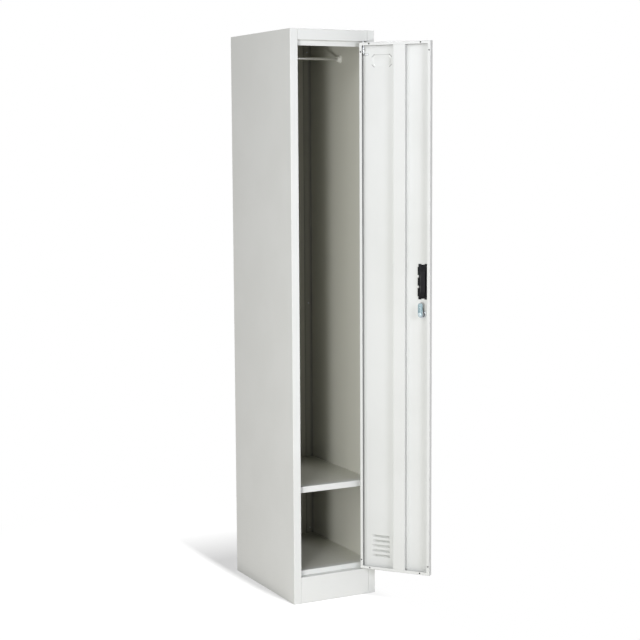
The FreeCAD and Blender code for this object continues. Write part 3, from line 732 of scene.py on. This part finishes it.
def spring_grid(turns=4, samples=40):
    """Helix of round wire: its height rises evenly with the turn, and its ends are closed."""
    wire_radius, coil = 0.00035, 0.00305
    turn = np.linspace(0, turns, turns * samples)
    angles = 2 * math.pi * turn
    side = np.stack([np.cos(angles), np.sin(angles), np.zeros_like(angles)], axis=-1)
    height = spring_low + wire_radius + (spring_high - spring_low - 2 * wire_radius) * turn / turns
    path = np.stack([hinge_x + coil * side[:, 0], hinge_y + coil * side[:, 1], height], axis=-1)
    scale = np.ones(len(turn))
    scale[[0, -1]] = 0.0
    return swept(path, side, wire_radius, scale, around=12)


spring_points, spring_faces = spring_grid()
spring = new_piece("hinge_spring_coil", swung(spring_points), spring_faces, bright_zinc,
                   "door", "zinc", "hinge_spring")
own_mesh(spring)


# Stage: a pale floor that keeps the locker's soft shadow and turns plain white farther off, and
# white all round. Neither is part of the locker.
def seen_rays(start):
    """1 for rays from the camera, a mirror or glass, and 0 for the light that falls on things."""
    outputs = start.node("ShaderNodeLightPath", {}, {}).socket.node.outputs
    seen = Field(outputs["Is Glossy Ray"]).larger(Field(outputs["Is Transmission Ray"]))
    return Field(outputs["Is Camera Ray"]).larger(seen)


def studio_floor():
    """Diffuse white near the locker, shaded by it, that turns plain white farther off.

    To the locker's right it glows plain white at once, over the shadow that the locker and door
    throw there."""
    near_share = 0.58
    finish, shader, place = new_finish("studio_floor")
    seen = seen_rays(place)
    wire(shader, Base_Color=seen.mix((0.36, 0.34, 0.32, 1), (0.93, 0.93, 0.93, 1)))
    shader.inputs["Roughness"].default_value = 0.8
    apart = place.node("ShaderNodeVectorMath", {"operation": "LENGTH"}, {0: place}, "Value")
    share = near_share + (1 - near_share) * apart.between(0.9, 1.6)
    share = share.larger(place.axes()[0].between(-0.10, 0.20))
    lit = place.node("ShaderNodeEmission", {}, {"Color": (1, 1, 1, 1), "Strength": 1.0})
    blend = place.node("ShaderNodeMixShader", {},
                       {0: seen * share, 1: Field(shader.outputs[0]), 2: lit})
    output = finish.node_tree.nodes["Material Output"]
    finish.node_tree.links.new(blend.socket, output.inputs["Surface"])
    return finish


floor_half, floor_gap = 30.0, 0.0003
floor_corners = np.array([(-1, -1, 0), (1, -1, 0), (1, 1, 0), (-1, 1, 0)]) * floor_half
floor_mesh = bpy.data.meshes.new("studio_floor")
floor_mesh.from_pydata(floor_corners - [0, 0, floor_gap], [], [(0, 1, 2, 3)])
floor_mesh.materials.append(studio_floor())
floor_object = bpy.data.objects.new("studio_floor", floor_mesh)
bpy.context.scene.collection.objects.link(floor_object)
floor_alone = bpy.data.collections.new("floor_alone")
floor_alone.objects.link(floor_object)
all_but_floor = bpy.data.collections.new("all_but_floor")
all_but_floor.objects.link(floor_object)
all_but_floor.collection_objects[0].light_linking.link_state = "EXCLUDE"

world = bpy.data.worlds.new("studio_white")
bpy.context.scene.world = world
world.use_nodes = True
surround = Field(world.node_tree.nodes["Background"].outputs[0])
surround.socket.node.inputs["Color"].default_value = (0.01, 0.01, 0.01, 1)
white = surround.node("ShaderNodeBackground", {}, {"Color": (1, 1, 1, 1), "Strength": 1.0})
backdrop = surround.node("ShaderNodeMixShader", {}, {0: seen_rays(surround), 1: surround, 2: white})
world.node_tree.links.new(backdrop.socket, world.node_tree.nodes["World Output"].inputs["Surface"])


# Lights: a small softbox low at the front left throws the shadows inside, and a wide one softens
# them. Others stand at both sides, ahead, high at the left and behind. A strip high overhead lights
# the floor alone and throws the locker's shadow on it.
def softbox(name, azimuth, elevation, distance, aim, width, height, power, shade,
            lit=all_but_floor):
    """Area light that faces a point from an azimuth and elevation, as the views count them.

    It lights what the collection holds, or all but what the collection excludes."""
    around, up = math.radians(azimuth), math.radians(elevation)
    back = np.array([math.sin(around) * math.cos(up), -math.cos(around) * math.cos(up),
                     math.sin(up)])
    right = np.cross([0.0, 0.0, 1.0], back)
    right = right / np.linalg.norm(right)
    above = np.cross(back, right)
    lamp = bpy.data.lights.new(name, "AREA")
    lamp.shape = "RECTANGLE"
    lamp.size, lamp.size_y = width, height
    lamp.energy = power
    lamp.color = shade
    holder = bpy.data.objects.new(name, lamp)
    place = np.eye(4)
    place[:3, 0], place[:3, 1], place[:3, 2] = right, above, back
    place[:3, 3] = np.array(aim) + back * distance
    holder.matrix_world = Matrix(place)
    holder.light_linking.receiver_collection = lit
    bpy.context.scene.collection.objects.link(holder)
    return holder


middle, lower_part, floor_front = (0, 0.1, 0.9), (0, 0.1, 0.35), (-0.033, -0.706, 0)
plain, cool, warm = (1, 1, 1), (0.90, 0.90, 1), (1, 0.88, 0.62)
# Each lamp: azimuth, elevation, distance, aim, width, height, watts and tint.
softbox("front_left_softbox", -42, 8, 4.5, middle, 2.4, 1.6, 44, plain)
low_left = softbox("low_left_softbox", -41, -3, 3.0, middle, 0.34, 0.27, 38, plain)
low_left.visible_glossy = False  # so small a lamp would leave a clipped spot on the coat
softbox("side_softbox", -102, -4, 4.0, lower_part, 1.2, 0.6, 10, warm)
softbox("right_softbox", 45, -6, 4.5, middle, 1.6, 1.6, 49, plain)
softbox("front_softbox", 8, 15, 4.5, middle, 1.2, 1.2, 66, cool)
softbox("high_left_softbox", -50, 35, 4.5, middle, 1.6, 1.6, 38, plain)
softbox("left_softbox", -68, 17, 4.5, middle, 0.7, 0.7, 20, cool)
softbox("back_softbox", 133, 38, 4.5, middle, 2.4, 2.4, 190, plain)
softbox("floor_strip_light", 0, 89.9, 8.0, floor_front, 0.12, 1.39, 800, plain, floor_alone)


# Camera: it stands at the front left, a little under the locker's top, as the photograph was taken.
# Its place and angles were fitted to the straight edges of the carcass.
def photo_camera():
    """Camera from its place, focal length in pixels and the angles that it is turned by."""
    stand, focal, image_width = (-2.2556, -4.3410, 1.4972), 1521.50, 640
    yaw, pitch, roll = math.radians(-26.993), math.radians(6.681), math.radians(-0.33)
    right = np.array([math.cos(yaw), math.sin(yaw), 0])
    forward = np.array([-math.sin(yaw) * math.cos(pitch), math.cos(yaw) * math.cos(pitch),
                        -math.sin(pitch)])
    above = np.cross(right, forward)
    place = np.eye(4)
    place[:3, 0] = right * math.cos(roll) + above * math.sin(roll)
    place[:3, 1] = above * math.cos(roll) - right * math.sin(roll)
    place[:3, 2] = -forward
    place[:3, 3] = stand
    camera = bpy.data.cameras.new("photo_camera")
    camera.sensor_width = 36
    camera.lens = focal * camera.sensor_width / image_width
    holder = bpy.data.objects.new("photo_camera", camera)
    holder.matrix_world = Matrix(place)
    bpy.context.scene.collection.objects.link(holder)
    bpy.context.scene.camera = holder


photo_camera()
bpy.context.scene.view_settings.view_transform = "Standard"
